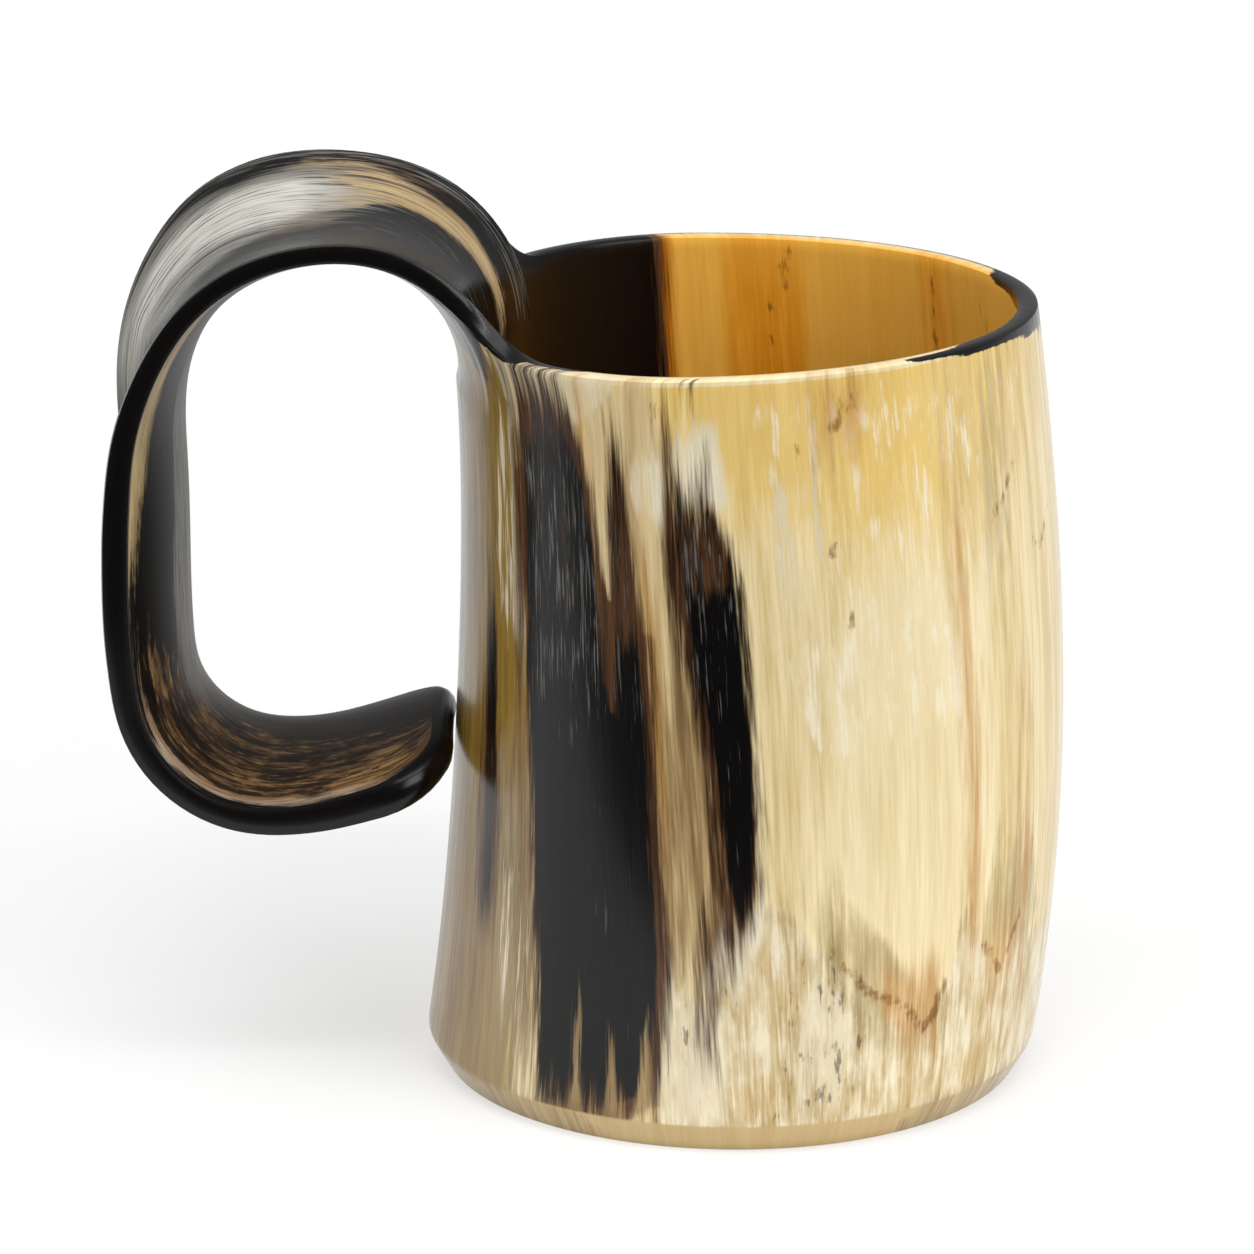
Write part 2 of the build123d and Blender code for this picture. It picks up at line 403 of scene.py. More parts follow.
        Streak(((50, 68.6, 78), (78, 69, 78), (88, 69.4, 76.4), (96, 70.2, 75), (104, 71.2, 73.6))),
        Streak((
            (32, 91.6, 94), (40, 90.6, 96.8), (50, 90, 97.6), (60, 89.2, 97.8), (70, 87.8, 97.5),
            (76, 86, 97.2), (85, 84.8, 96.8), (92, 84.8, 95.8), (98, 85.6, 92.6),
        )),
        Streak(((18, 84, 87), (26, 84, 89.5), (34, 86, 93), (44, 89.5, 94)), -0.1, 0.14),
        Streak(((4, -68, -42), (60, -75, -34), (90, -79, -27), (140, -82, -18))),
        Streak(((8, -112, -102), (40, -120, -99), (84, -118, -99), (104, -110, -102)), 2, 0.12),
        Streak(((84, 83.6, 87.4), (92, 84, 86.4), (102, 84.6, 85.4)), 0.8, 0.12),
        Streak((
            (10, 30.4, 33.8), (25, 29.2, 35), (45, 28.6, 35.4), (62, 29.6, 34.6), (78, 31, 32.6),
        ), 1.3, 0.1),
        Streak(((76, 42.2, 45), (108, 42.4, 45)), 0.9, 0.1),
    ), inner=(
        Streak(((-20, -79, 63), (118, -79.6, 61), (124, -60, 61), (300, -60, 61))),
    )),
    Layer("black", "0D0B0A", "080707", streaks=2.8, hairs=2.2, low=-0.5, high=0.7, handle_edge=INSIDE,
          outer=(
        Streak((
            (5, 51.6, 64), (8, 51.2, 72), (11, 50.8, 74.6), (17, 50.4, 75.6), (25, 49.6, 76.6),
            (35, 48.8, 77), (50, 47.6, 76.4), (62, 46.4, 76), (66, 46.4, 69), (71, 46.2, 67.2),
            (84, 46, 66.4),
        ), end_fade=0.16),
        Streak(((60, 46, 68), (75, 45.2, 67.2), (90, 44.8, 66), (99, 46.4, 63.5), (108, 49, 58)), 0.9, 0.12),
        Streak(((50, 69.8, 76.4), (66, 69.6, 76.6), (72, 69.8, 76.4), (78, 70, 76)), 1, 0.2),
        Streak(((66, 69.8, 76.4), (84, 70.2, 75), (98, 71.4, 73.2)), -0.3, 0.1),
        Streak((
            (36, 93, 95), (42, 91.6, 96.4), (55, 91, 97.3), (65, 90.2, 97.3), (75, 88.8, 97.2),
            (86, 87.4, 97),
        ), end_fade=0.3),
        Streak((
            (64, 89.6, 97.4), (76, 87.4, 97.2), (86, 85.6, 96.8), (92, 85.8, 95), (97, 87, 92),
        ), 0.1, 0.12),
        Streak(((12, 31.2, 33.2), (46, 30.2, 34.2), (76, 31.2, 33.6)), 0.45, 0.1),
        Streak((
            (112.2, 172, 178), (113.4, 160, 196), (114.2, 142, 202), (115, 128, 206), (124, 122, 206),
        ), 6, 0.6),
        Streak(((110, 89.6, 90.4), (124, 88.2, 91.6)), end_fade=0.4),
        Streak(((108, 46.4, 47.4), (122, 43, 50)), end_fade=0.4),
        Streak(((108, 33, 35), (115, 22, 38), (122, 0, 44), (130, -44, 48), (300, -44, 48))),
        Streak(((10, -66, -44), (60, -72, -36), (90, -76, -30), (140, -79, -20))),
        Streak((
            (12, -109, -104), (30, -112, -101), (62, -112, -100), (80, -109, -101), (96, -107, -103),
        ), 2, 0.16),
        Streak(((34, -117, -114), (70, -118, -113), (88, -116, -114)), 0.8, 0.1),
        Streak(((20, -14, 2), (70, -18, 4), (108, -10, 0))),
    ), inner=(
        Streak(((-20, -77.4, 62), (118, -77.8, 60), (124, -60, 60), (300, -60, 60))),
        Streak(((112.6, 170, 182), (114.4, 156, 200), (116, 130, 206), (124, 126, 206)), 6, 0.6),
    )),
    Layer("slit", "C8AE7A", "73573A", streaks=3, hairs=2.5, low=0, high=1, strength=0.85, outer=(
        Streak(((2, 57.4, 62), (10, 58.4, 61.4), (26, 59.6, 60.6)), 1.3, 0.2),
        Streak(((2, 64.8, 69.6), (9, 65.8, 68.8), (19, 67, 68)), 1.3, 0.2),
        Streak(((2, 70.4, 76), (8, 71.6, 75.8), (23, 73.6, 75.2)), 1.5, 0.2),
        Streak(((2, 53.6, 55), (7, 54, 54.8), (12, 54.2, 54.6)), 0.4, 0.14),
    )),
    Layer("handle_tan", "B9A37A", "7C6646", streaks=5, hairs=3, flecks=2, low=-0.5, high=1.2,
          grain=Grain.STRANDS, outer=(
        Streak(((152, 29, 40), (166, 27, 40), (180, 27.6, 40), (190, 30.4, 40), (202, 33, 40))),
    ), inner=(
        Streak((
            (104, -26, -22), (110, -27, -22), (116, -27, -20), (124, -28, -18.5), (130, -30, -17),
            (134, -33, -12), (142, -33, -8),
        )),
    )),
    # Grey-white fibre on the handle's top (inner skin), and a painted sheen on the finger side (outer skin)
    Layer("handle_ash_and_sheen", "A9A69C", "4A4845", streaks=8, hairs=6, low=-0.4, high=3, grain=Grain.STRANDS,
          outer=(
        # Painted sheen: grey streaks on the finger side stand in for the white room reflected there at a
        # grazing angle
        Streak(((156, -30, 13), (174, -34, 15), (200, -34, 17), (214, -32, 14), (234, -28, 2)), 1.6, 0.1),
    ), inner=(
        Streak((
            (130, -30, -12), (138, -32, -3), (146, -32, -4), (150, -32, -5), (158, -35, -9), (165, -37, -15),
            (173, -39, -24), (188, -42, -31),
        ), 3),
        Streak(((182, -40, -22), (210, -30, -6), (240, -14, 6)), 1.6),
    )),
    Layer("handle_white", "E3E1DA", "8F8B80", streaks=9, hairs=5, low=0.2, high=2.8, grain=Grain.STRANDS,
          inner=(
        Streak((
            (132, -26, -12), (140, -28, -9), (146, -29, -8), (154, -31, -14), (164, -34, -22),
            (180, -37, -31),
        ), 2.6, 0.25),
    )),
    Layer("handle_umber", "8E6E54", "4A392D", streaks=6, hairs=5, flecks=3, low=0.2, high=2.4, strength=0.8,
          grain=Grain.STRANDS, inner=(
        Streak(((134, -12, -2), (142, -14, 0), (149, -12, -3)), 0.9, 0.2),
        Streak(((122, -34, -28), (131, -36, -20), (140, -34, -24)), 0.8, 0.2),
        Streak(((152, -30, -16), (176, -37, -30)), -0.2, 0.1),
    )),
    Layer("handle_ink", "2A2928", "131212", streaks=9, hairs=5, low=1.2, high=3, strength=0.85, inner=(
        Streak(((138, -33, -6), (150, -33, -8), (164, -36, -16), (182, -40, -30)), 1, 0.1),
    )),
    Layer("glint", "B5B2AC", "77746F", streaks=3, hairs=7.5, low=1, high=2.4, strength=0.55, outer=(
        Streak(((62, 47, 66), (78, 45, 68), (92, 44.5, 66), (110, 48, 60)), 0.9, 0.08),
        Streak(((66, 88, 95), (82, 86.5, 96), (100, 87, 93)), 0.7, 0.08),
        Streak(((62, 69, 77), (96, 69, 77)), 0.5, 0.08),
        Streak(((8, 53, 70), (36, 51, 75), (66, 47, 76)), -0.3, 0.1),
        Streak(((40, 91, 97), (70, 88, 98)), -0.2, 0.1),
    ), inner=(
        Streak(((104, -38, -30), (140, -39, -32), (184, -42, -34)), 1.2),
        Streak(((106, -19, -8), (126, -18, -2), (146, -15, 8)), 0.4),
        Streak(((138, -8, 12), (160, -16, 14), (210, -30, 16)), -0.3, 0.05),
    )),
    Layer("worn_brown", "4A382A", "2A211B", streaks=5, hairs=3, clouds=5, low=-0.2, high=3, strength=0.55,
          grain=Grain.STRANDS, outer=(
        Streak(((200, 20, 34), (214, -6, 34), (240, -20, 34), (272, -10, 32)), 2, 0.1),
    )),
    Layer("worn_gold", "C89C62", "4A3420", streaks=5, hairs=5, flecks=4, clouds=4, low=0.9, high=2.5,
          strength=0.82, grain=Grain.STRANDS, outer=(
        Streak(((202, 24, 34), (214, 12, 34), (230, 0, 34), (246, 6, 34), (270, 14, 32)), 1.1, 0.2),
        Streak(((238, 22, 34), (256, 18, 34), (266, 20, 32)), 2.2, 0.2),
    )),
    Layer("worn_edge", "C9B7A2", "7A5C40", streaks=3, hairs=4, clouds=3, low=0.1, high=1.6, strength=0.9,
          grain=Grain.STRANDS, outer=(
        Streak(((204, 30.5, 34), (222, 29.4, 34), (244, 29.6, 34), (258, 31, 34)), 1.6, 0.1),
    )),
    Layer("fleck", "5C5546", "3B362C", streaks=2, hairs=2, flecks=5, clouds=5, low=1.5, high=2.5,
          strength=0.7, outer=(
        Streak(((3, 97, 117), (14, 98, 117), (22, 99, 113), (34, 101, 108)), 0.9),
        Streak(((3, 88, 126), (9, 90, 124)), 1.4),
        Streak(((3, 84, 90), (24, 85, 90)), 0.6),
        *(Mark(points, 1.2) for points in (
            ((106.2, 25), (107.2, 21), (106.8, 17)),
            ((109.6, 24), (111, 20)),
            ((108, 12), (110, 8), (109.4, 6)),
            ((112, 10.5), (113, 7)),
            ((90, 22), (90.6, 18)),
            ((97.6, 9), (98.8, 6)),
            ((116, 22), (117, 19)),
            ((103, 14), (102.6, 9)),
        )),
        Streak(((16, 78, 92), (27, 78, 93), (40, 88, 97)), 0.4),
    )),
    Layer("foot_bevel", "C6AE7E", "BCA272", streaks=0.4, hairs=0.2, low=-0.4, high=0.4, outer=(
        Shore(((0, 4.4), (360, 4.4)), 1.5),
    )),
    # Painted shade: the foot's bevel is darkened towards both ends, where it turns away from the lamps; the
    # first streak makes the wall's lower left darker
    Layer("foot_shade", "A08A62", "80694A", streaks=4, hairs=2, low=-1, high=2, strength=0.9, outer=(
        Streak(((-20, 4, 44), (2, 4, 46), (12, 8, 42), (30, 14, 36)), 2, 0.3),
        Streak(((-20, 36, 64), (2, 36, 64), (4.4, 40, 60)), 0.5, 0.6),
        Streak(((-20, 124, 185), (2, 124, 185), (4.4, 128, 185)), 0.6, 0.6),
    )),
)


def linear(code: str) -> tuple[float, float, float, float]:
    """Turn an sRGB hex colour into the linear colour that a shader takes.

    Args:
        code: six hex digits.

    Returns:
        Red, green, blue and full opacity.
    """
    shares = [int(code[place : place + 2], 16) / 255.0 for place in (0, 2, 4)]
    values = [share / 12.92 if share <= 0.04045 else ((share + 0.055) / 1.055) ** 2.4 for share in shares]
    return (*values, 1.0)


def put(tree: Tree, kind: str, inputs: dict, **settings: object) -> bpy.types.Node:
    """Add a node with its settings, values and links.

    Args:
        tree: the material's node tree.
        kind: the node's type, without the words that all shader nodes start with.
        inputs: by socket name or number, a value, or the output socket that feeds it.
        settings: the node's own properties.

    Returns:
        The node.
    """
    node = tree.nodes.new("ShaderNode" + kind)
    for name, value in settings.items():
        setattr(node, name, value)
    for key, value in inputs.items():
        if isinstance(value, Socket):
            tree.links.new(value, node.inputs[key])
        else:
            node.inputs[key].default_value = value
    return node


def attribute(tree: Tree, name: str) -> Socket:
    """One of the mesh's own numbers."""
    return put(tree, "Attribute", {}, attribute_name=name).outputs["Fac"]


def over(tree: Tree, mask: Socket, below: object, above: object) -> Socket:
    """One colour laid over another by a mask."""
    return put(tree, "Mix", {0: mask, 6: below, 7: above}, data_type="RGBA").outputs[2]


def ramp(tree: Tree, value: Socket, start: float, end: float, low: float = 0.0, high: float = 1.0) -> Socket:
    """A value's range from start to end, carried to the range from low to high."""
    return put(tree, "MapRange", {0: value, 1: start, 2: end, 3: low, 4: high}).outputs[0]


def ease(tree: Tree, value: Socket, start: float, end: float, low: float = 0.0, high: float = 1.0) -> Socket:
    """A value's range carried to another one, as ramp does, but level at both ends."""
    inputs = {0: value, 1: start, 2: end, 3: low, 4: high}
    return put(tree, "MapRange", inputs, interpolation_type="SMOOTHSTEP").outputs[0]


def total(tree: Tree, start: object, parts: tuple[tuple[Socket, float], ...]) -> Socket:
    """Add shares of several noises to a start value.

    Args:
        tree: the material's node tree.
        start: a number, or the socket that gives it.
        parts: each noise, and its share.

    Returns:
        The sum.
    """
    for noise, share in parts:
        if share:
            start = put(tree, "Math", {0: noise, 1: share, 2: start}, operation="MULTIPLY_ADD").outputs[0]
    return start


def new_material(name: str) -> tuple[bpy.types.Material, Tree]:
    """Start a node material.

    Args:
        name: the material's name.

    Returns:
        The material, and its empty node tree.
    """
    material = bpy.data.materials.new(name)
    material.use_nodes = True
    material.node_tree.nodes.clear()
    return material, material.node_tree


def surface(tree: Tree, inputs: dict, height: Socket, strength: float, distance: float) -> None:
    """Close a material with its shader.

    Args:
        tree: the material's node tree.
        inputs: the shader's values and links.
        height: what raises the surface.
        strength: how strongly it does.
        distance: how far, in millimetres.
    """
    bump = put(tree, "Bump", {"Height": height, "Strength": strength, "Distance": distance * MM})
    shader = put(tree, "BsdfPrincipled", inputs | {"Normal": bump.outputs[0]})
    put(tree, "OutputMaterial", {"Surface": shader.outputs[0]})


@dataclass(frozen=True)
class PolishedHorn:
    """Cattle horn, scraped, buffed and waxed: clear fibrous keratin over pigment that runs with the fibre."""

    cream: str = "EEDEB5"
    cream_shade: str = "DDC998"
    # The inside's amber is the horn's own colour, painted brighter to stand in for light shining through the
    # thin wall, which the shader does not pass
    inside: str = "F4B440"
    inside_shade: str = "E09A2C"
    inside_depths: tuple[float, float] = (0.75, 0.95)
    hair_width: float = 0.35
    hair_length: float = 8.0
    streak_width: float = 1.3
    streak_length: float = 26.0
    fleck_width: float = 0.7
    fleck_length: float = 2.4
    broad_width: float = 5.0
    broad_length: float = 45.0
    cloud_width: float = 2.6
    cloud_length: float = 7.0
    noise_detail: float = 3.0
    noise_roughness: float = 0.55
    ior: float = 1.38
    shine: float = 0.5
    least_roughness: float = 0.15
    most_roughness: float = 0.25
    roughness_noise: float = 0.2
    worn_roughness: float = 0.42
    worn_shine: float = 0.22
    worn_depth: float = 0.25
    worn_start: float = 122.0
    worn_full: float = 150.0
    relief: float = 0.1
    relief_height: float = 0.2
    fan_turn: float = -37.0
    fan_start: float = 138.0
    fan_length: float = 46.0
    fan_most: float = 3.5

    def grain(self, tree: Tree, fibre: Socket, width: float, length: float) -> Socket:
        """Noise drawn out along the fibre.

        Args:
            tree: the material's node tree.
            fibre: the horn's straight coordinates in millimetres.
            width: size of a fleck across the fibre, in millimetres.
            length: its size along the fibre.

        Returns:
            The noise, centred on zero.
        """
        scale = (1.0 / width, 1.0 / width, 1.0 / length)
        place = put(tree, "Mapping", {"Vector": fibre, "Scale": scale}).outputs[0]
        texture = {"Scale": 1.0, "Detail": self.noise_detail, "Roughness": self.noise_roughness}
        noise = put(tree, "TexNoise", texture | {"Vector": place}).outputs[0]
        return put(tree, "Math", {0: noise, 1: 0.5}, operation="SUBTRACT").outputs[0]

    def material(self) -> bpy.types.Material:
        """Lay the colours over each other, from the clear horn up to the black pigment.

        Returns:
            The material.
        """
        material, tree = new_material("polished_horn")
        fibre = put(tree, "Attribute", {}, attribute_name="fibre").outputs["Vector"]
        hair = self.grain(tree, fibre, self.hair_width, self.hair_length)
        streak = self.grain(tree, fibre, self.streak_width, self.streak_length)
        fleck = self.grain(tree, fibre, self.fleck_width, self.fleck_length)
        broad = self.grain(tree, fibre, self.broad_width, self.broad_length)
        cloud = self.grain(tree, fibre, self.cloud_width, self.cloud_length)
        recipes = {
            Grain.SOFT: ((streak, 1.8), (hair, 1.5), (broad, 1.4)),
            Grain.CLOUDY: ((cloud, 2.6), (streak, 1.2), (hair, 1.8)),
            Grain.STRANDS: ((hair, 2.6), (streak, 2.4)),
        }
        blends = {}
        for grain, parts in recipes.items():
            blends[grain] = put(tree, "Clamp", {0: total(tree, 0.5, parts)}).outputs[0]
        outside = over(tree, blends[Grain.SOFT], linear(self.cream), linear(self.cream_shade))
        # The inside's amber, brightened as a painted glow
        inside_amber_and_painted_glow = over(tree, blends[Grain.SOFT], linear(self.inside), linear(self.inside_shade))
        colour = over(tree, ramp(tree, attribute(tree, "depth"), *self.inside_depths), outside, inside_amber_and_painted_glow)
        noises = (streak, hair, fleck, cloud)
        for layer in LAYERS:
            shares = (layer.streaks, layer.hairs, layer.flecks, layer.clouds)
            field = total(tree, attribute(tree, layer.name), tuple(zip(noises, shares)))
            mask = ease(tree, field, layer.low, layer.high, high=layer.strength)
            tones = over(tree, blends[layer.grain], linear(layer.tone), linear(layer.shade))
            colour = over(tree, mask, colour, tones)
        worn = attribute(tree, "worn")
        reach = self.roughness_noise
        gloss = ramp(tree, streak, -reach, reach, self.least_roughness, self.most_roughness)
        rough = put(tree, "Mix", {0: worn, 2: gloss, 3: self.worn_roughness}, data_type="FLOAT").outputs[0]
        shine = ramp(tree, worn, 0.0, 1.0, self.shine, self.worn_shine)
        inputs = {"Base Color": colour, "Roughness": rough, "IOR": self.ior, "Specular IOR Level": shine}
        surface(tree, inputs, hair, self.relief, self.relief_height)
        return material

    def dress(self, piece: bpy.types.Object) -> None:
        """Tag the horn with its fibre and its layers, and give it the material.

        Args:
            piece: the horn, tagged with turn, along and depth.
        """
        mesh = piece.data
        for layer in LAYERS:
            layer.tag(mesh)
        turn = read_values(mesh, "turn")
        along = read_values(mesh, "along")
        depth = read_values(mesh, "depth")
        reach = self.fan_length
        fan = reach / np.clip(reach + self.fan_start - along, reach / self.fan_most, reach)
        past = smooth_step(self.fan_start + reach, self.fan_start + 2.0 * reach, along)
        fan = 1.0 + (fan - 1.0) * (1.0 - past)
        radians = np.radians(turn + (turn - self.fan_turn) * (fan - 1.0) * depth)
        fibre = np.stack([GIRTH_RADIUS * np.cos(radians), GIRTH_RADIUS * np.sin(radians), along], axis=-1)
        finger_side = 1.0 - smooth_step(0.0, self.worn_depth, depth)
        write_values(mesh, "worn", finger_side * smooth_step(self.worn_start, self.worn_full, along))
        layer = mesh.attributes.new("fibre", "FLOAT_VECTOR", "POINT")
        layer.data.foreach_set("vector", fibre.astype(np.float32).ravel())
        mesh.materials.append(self.material())


@dataclass(frozen=True)
class PressedHorn:
    """Horn plate flattened under heat: tan, satin, with its fibre running one way across the disc."""

    tan: str = "9C8050"
    shade: str = "6E5630"
    fibre_width: float = 0.6
    fibre_length: float = 14.0
    fibre_detail: float = 4.0
    fibre_range: tuple[float, float] = (0.3, 0.7)
    roughness: tuple[float, float] = (0.35, 0.55)
    ior: float = 1.54
    relief: float = 0.25
    relief_height: float = 0.2

    def material(self) -> bpy.types.Material:
        """Tan plate with darker fibre.

        Returns:
            The material.
        """
        material, tree = new_material("pressed_horn_plate")
        place = put(tree, "TexCoord", {}).outputs["Object"]
        scale = [1.0 / (size * MM) for size in (self.fibre_length, self.fibre_width, self.fibre_width)]
        drawn = put(tree, "Mapping", {"Vector": place, "Scale": scale}).outputs[0]
        noise = put(tree, "TexNoise", {"Vector": drawn, "Scale": 1.0, "Detail": self.fibre_detail}).outputs[0]
        share = ramp(tree, noise, *self.fibre_range)
        colour = over(tree, share, linear(self.tan), linear(self.shade))
        rough = ramp(tree, noise, *self.fibre_range, *self.roughness)
        inputs = {"Base Color": colour, "Roughness": rough, "IOR": self.ior}
        surface(tree, inputs, noise, self.relief, self.relief_height)
        return material


@dataclass(frozen=True)
class CuredAdhesive:
    """Clear epoxy that has yellowed: glossy amber, a little uneven where it was wiped."""

    amber: str = "B98A3C"
    deep: str = "8F6526"
    blot: float = 3.0
    blot_detail: float = 2.0
    blot_range: tuple[float, float] = (0.3, 0.7)
    roughness: tuple[float, float] = (0.12, 0.25)
    ior: float = 1.55
    relief: float = 0.3
    relief_height: float = 0.3

    def material(self) -> bpy.types.Material:
        """Amber adhesive with soft blots.

        Returns:
            The material.
        """
        material, tree = new_material("cured_adhesive")
        place = put(tree, "TexCoord", {}).outputs["Object"]
        inputs = {"Vector": place, "Scale": 1.0 / (self.blot * MM), "Detail": self.blot_detail}
        noise = put(tree, "TexNoise", inputs).outputs[0]
        colour = over(tree, noise, linear(self.amber), linear(self.deep))
        rough = ramp(tree, noise, *self.blot_range, *self.roughness)
        inputs = {"Base Color": colour, "Roughness": rough, "IOR": self.ior}
        surface(tree, inputs, noise, self.relief, self.relief_height)
        return material


@dataclass(frozen=True)
class Outline:
    """Egg shaped outline of the outer wall at one height: its reaches from the foot's centre."""

    height: float
    toward_handle: float
    away: float
    depth: float
    widest_x: float


@dataclass(frozen=True)
class Bend:
    """One stretch of the handle strip: its length, and how far it turns outward and over, in degrees."""

    length: float
    turn: float


@dataclass(frozen=True)
class StripSize:
    """Width and section of the handle strip at a distance from the collar."""

    distance: float
    front_half: float
    back_half: float
    cross_radius: float
    thickness: float
    relief: float


@dataclass
class HornBody:
    """The cup wall and its handle: one sheet of horn, rolled out of the rim and hooked down beside it."""

    rim_height: float = 114.8
    rim_tilt: float = 0.9
    collar_height: float = 104.0
    bevel_rise: float = 4.3
    bevel_inset: float = 2.6
    bevel_round: float = 0.35
    foot_wall: float = 5.2
    rim_wall: float = 3.0
    rebate_depth: float = 5.3
    rebate_inset: float = 4.2
    seat_rises: tuple[float, ...] = (-0.2, 0.0, 0.0, 0.15, 0.9)
    seat_rounds: tuple[float, float] = (0.25, 0.1)
    lip_rise: float = 1.0
    lip_squareness: float = 3.6
    tip_lip_rise: float = 2.5
    tip_lip_squareness: float = 2.1
    tip_lip_length: float = 12.0
    front_flare: float = 9.0
    back_flare: float = 3.6
    front_tip_round: float = 9.5
    back_tip_round: float = 15.0
    outlines: tuple[Outline, ...] = (
        Outline(4.3, 45.7, 44.8, 45.0, 0.0),
        Outline(29.2, 42.8, 47.5, 45.4, -1.8),
        Outline(54.2, 41.1, 48.4, 45.3, -3.6),
        Outline(79.1, 40.3, 47.1, 44.4, -5.4),
        Outline(104.0, 40.8, 45.0, 42.8, -7.0),
        Outline(115.0, 41.8, 43.5, 42.2, -7.6),
    )
    outline_order: int = 4
    bends: tuple[Bend, ...] = (
        Bend(18.6, 48.7),
        Bend(12.7, 41.1),
        Bend(12.9, 29.5),
        Bend(12.1, 30.4),
        Bend(19.4, 29.1),
        Bend(19.1, 0.2),
        Bend(14.2, 5.4),
        Bend(11.4, 37.6),
        Bend(12.0, 40.2),
        Bend(13.2, 19.5),
        Bend(11.7, 4.5),
    )
    strip: tuple[StripSize, ...] = (
        StripSize(0.0, 24.4, 26.4, 51.0, 3.0, 0.0),
        StripSize(14.0, 24.4, 26.2, 56.0, 2.8, 1.6),
        StripSize(30.0, 24.4, 26.8, 66.0, 2.6, 1.0),
        StripSize(44.0, 24.0, 31.0, 60.0, 2.7, 1.0),
        StripSize(58.0, 23.6, 31.4, 51.0, 2.8, 1.8),
        StripSize(76.0, 24.2, 27.4, 39.5, 3.2, 0.5),
        StripSize(92.0, 24.4, 24.4, 38.0, 3.2, 0.0),
        StripSize(120.0, 21.8, 22.6, 35.0, 3.0, 0.0),
        StripSize(136.0, 21.4, 21.8, 42.0, 3.8, 0.0),
        StripSize(152.0, 21.0, 21.2, 58.0, 5.0, 0.0),
    )
    size_easing: float = 9.0
    size_samples: int = 9
    strip_start: float = 8.0
    strip_full: float = 34.0
    roll_turns: tuple[float, float] = (44.0, 80.0)
    fibre_turns: tuple[float, float] = (40.0, 70.0)
    skin_join: float = 0.7
    highest_top: float = 30.0
    halvings: int = 40
    back_columns: int = 84
    front_columns: int = 168
    flare_columns: int = 9
    strip_columns: int = 42
    wall_rows: int = 96
    crown_rows: int = 9
    strip_rows: int = 96
    tip_rows: int = 11
    lip_cuts: int = 6
    foot_heights: tuple[float, ...] = (0.0, 2.0, 3.7, 4.3, 4.9, 6.2)
    path_step: float = 0.25
    bend_easing: float = 7.0
    weld: float = 0.02
    sharp_angle: float = 38.0

    def __post_init__(self) -> None:
        """Work out the strip's path and the columns of the sheet once."""
        self.trace_path()
        self.lay_columns()
        self.solve_tops()

    @property
    def foot_rows(self) -> int:
        """Number of face rows in the foot."""
        return len(self.foot_heights) - 1

    @property
    def rim_row(self) -> int:
        """Row that ends at the rim, where the strip goes on."""
        return self.foot_rows + self.wall_rows + self.crown_rows

    @property
    def row_count(self) -> int:
        """Number of face rows from the foot to the strip's tip."""
        return self.rim_row + self.strip_rows + self.tip_rows

    def in_strip(self, column: np.ndarray) -> np.ndarray:
        """True for the columns that run on into the handle strip."""
        return (column >= self.strip_first) & (column <= self.strip_last)

    def trace_path(self) -> None:
        """Follow the bends along the mid line of the strip's outer face, each eased into the next."""
        lengths = np.array([bend.length for bend in self.bends])
        turns = np.radians([bend.turn for bend in self.bends])
        stations = np.concatenate([[0.0], np.cumsum(lengths)])
        headings = np.concatenate([[0.0], np.cumsum(turns)])
        self.strip_length = float(stations[-1])
        distance = np.arange(-self.bend_easing, self.strip_length + self.bend_easing, self.path_step)
        heading = np.interp(distance, stations, headings)
        heading += np.maximum(distance - self.strip_length, 0.0) * (turns[-1] / lengths[-1])
        heading += np.minimum(distance, 0.0) * (turns[0] / lengths[0])
        span = int(self.bend_easing / self.path_step)
        smooth = np.convolve(heading, np.ones(span) / span, mode="same")
        inside = slice(span // 2, -(span // 2))
        distance, heading = distance[inside], smooth[inside]
        heading = heading - np.interp(0.0, distance, heading)
        x = np.cumsum(-np.sin(heading)) * self.path_step
        z = np.cumsum(np.cos(heading)) * self.path_step
        collar = self.outlines[-2]
        self.path_distance = distance
        self.path_heading = heading
        self.path_x = x - np.interp(0.0, distance, x) - (collar.toward_handle - self.rim_wall)
        self.path_z = z - np.interp(0.0, distance, z) + self.collar_height

    def outline_at(self, height: np.ndarray) -> list[np.ndarray]:
        """Read the outline at any height from smooth curves through the given ones.

        Args:
            height: heights above the table.

        Returns:
            Reach towards the handle, reach away from it, half depth and X of the widest place.
        """
        heights = [outline.height for outline in self.outlines]
        names = ("toward_handle", "away", "depth", "widest_x")
        reaches = [[getattr(outline, name) for outline in self.outlines] for name in names]
        return [np.polyval(np.polyfit(heights, values, self.outline_order), height) for values in reaches]

    def wall_point(self, turn: np.ndarray, height: np.ndarray, inset: np.ndarray) -> np.ndarray:
        """Place points of the cup wall.

        Args:
            turn: way round the cup in radians, 0 at the handle and a quarter turn at the front.
            height: height above the table.
            inset: distance inward from the outer skin.

        Returns:
            Points, one in each row.
        """
        toward, away, depth, widest = self.outline_at(np.maximum(height, self.bevel_rise))
        below = (self.bevel_rise - height) / self.bevel_round
        bevel = self.bevel_inset / self.bevel_rise * self.bevel_round * np.logaddexp(0.0, below)
        inset = inset + np.where(inset > 0.0, 0.0, bevel)
        reach = np.where(np.cos(turn) > 0.0, toward + widest, away - widest) - inset
        x = widest - reach * np.cos(turn)
        y = -(depth - inset) * np.sin(turn)
        return np.stack([x, y, height], axis=-1)

    def strip_size(self, distance: np.ndarray, name: str) -> np.ndarray:
        """Read one of the strip's sizes at distances along it, eased between the stations.

        Args:
            distance: distances from the collar.
            name: which field of StripSize.

        Returns:
            The size at each distance.
        """
        stations = [size.distance for size in self.strip]
        values = [getattr(size, name) for size in self.strip]
        steps = self.size_easing * np.linspace(-1.0, 1.0, self.size_samples)
        return np.mean([np.interp(distance + step, stations, values) for step in steps], axis=0)

